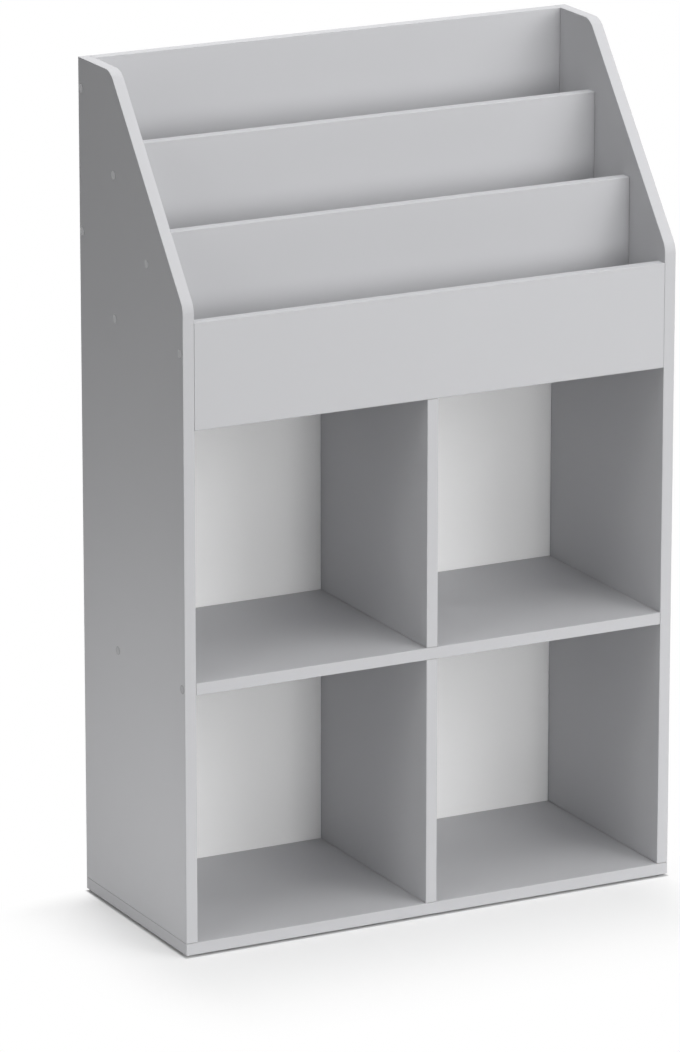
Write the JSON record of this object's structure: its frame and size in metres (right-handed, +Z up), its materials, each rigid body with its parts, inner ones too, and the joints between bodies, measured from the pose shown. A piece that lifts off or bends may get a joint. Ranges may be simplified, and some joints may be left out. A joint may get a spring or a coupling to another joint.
{
  "type": "kids bookcase",
  "caption": "Free-standing children's bookcase: open cubbies with a white back below and stepped face-out book pockets above, between side panels with a slanted upper front edge.",
  "frame": {"origin": "on the floor, under the middle of the bookcase's width and depth", "axes": "+Z up, the open front faces -Y, +X to the right of someone facing the front"},
  "size_m": [0.72, 0.3074, 1.1393],
  "materials": {
    "grey_laminate": "light grey melamine laminate on particle board, fine satin texture",
    "white_fibreboard": "thin fibreboard, painted white on its front, satin",
    "screw_steel": "zinc plated",
    "dowel_beech": "bare beech",
    "glide_plastic": "dark moulded plastic"
  },
  "bodies": {
    "root": {"left_side_panel": "grey_laminate", "right_side_panel": "grey_laminate", "base_panel": "grey_laminate", "middle_shelf": "grey_laminate", "lower_divider": "grey_laminate", "upper_divider": "grey_laminate", "top_shelf": "grey_laminate", "front_rail": "grey_laminate", "front_pocket_board": "grey_laminate", "middle_pocket_board": "grey_laminate", "upper_back_board": "grey_laminate", "middle_pocket_floor": "grey_laminate", "rear_pocket_floor": "grey_laminate", "back_panel": "white_fibreboard", "left_rail_screw": "screw_steel", "left_front_pocket_board_screw": "screw_steel", "left_middle_pocket_board_screw": "screw_steel", "left_upper_back_board_screw": "screw_steel", "left_middle_pocket_floor_screw": "screw_steel", "left_rear_pocket_floor_screw": "screw_steel", "left_middle_shelf_front_screw": "screw_steel", "left_middle_shelf_rear_screw": "screw_steel", "right_rail_screw": "screw_steel", "right_front_pocket_board_screw": "screw_steel", "right_middle_pocket_board_screw": "screw_steel", "right_upper_back_board_screw": "screw_steel", "right_middle_pocket_floor_screw": "screw_steel", "right_rear_pocket_floor_screw": "screw_steel", "right_middle_shelf_front_screw": "screw_steel", "right_middle_shelf_rear_screw": "screw_steel", "left_foot_screw_front": "screw_steel", "left_foot_screw_rear": "screw_steel", "right_foot_screw_front": "screw_steel", "right_foot_screw_rear": "screw_steel", "divider_foot_screw_front": "screw_steel", "divider_foot_screw_rear": "screw_steel", "divider_top_screw_front": "screw_steel", "divider_top_screw_rear": "screw_steel", "divider_dowel_front": "dowel_beech", "divider_dowel_rear": "dowel_beech", "left_top_shelf_dowel_front": "dowel_beech", "left_top_shelf_dowel_rear": "dowel_beech", "right_top_shelf_dowel_front": "dowel_beech", "right_top_shelf_dowel_rear": "dowel_beech", "rail_dowel_left": "dowel_beech", "rail_dowel_right": "dowel_beech", "front_pocket_board_dowel_left": "dowel_beech", "front_pocket_board_dowel_right": "dowel_beech", "middle_pocket_board_dowel_left": "dowel_beech", "middle_pocket_board_dowel_right": "dowel_beech", "upper_back_board_dowel_left": "dowel_beech", "upper_back_board_dowel_right": "dowel_beech", "middle_pocket_floor_dowel": "dowel_beech", "rear_pocket_floor_dowel": "dowel_beech", "glide_left_front": "glide_plastic", "glide_left_rear": "glide_plastic", "glide_middle_front": "glide_plastic", "glide_middle_rear": "glide_plastic", "glide_right_front": "glide_plastic", "glide_right_rear": "glide_plastic"}
  },
  "joints": []
}
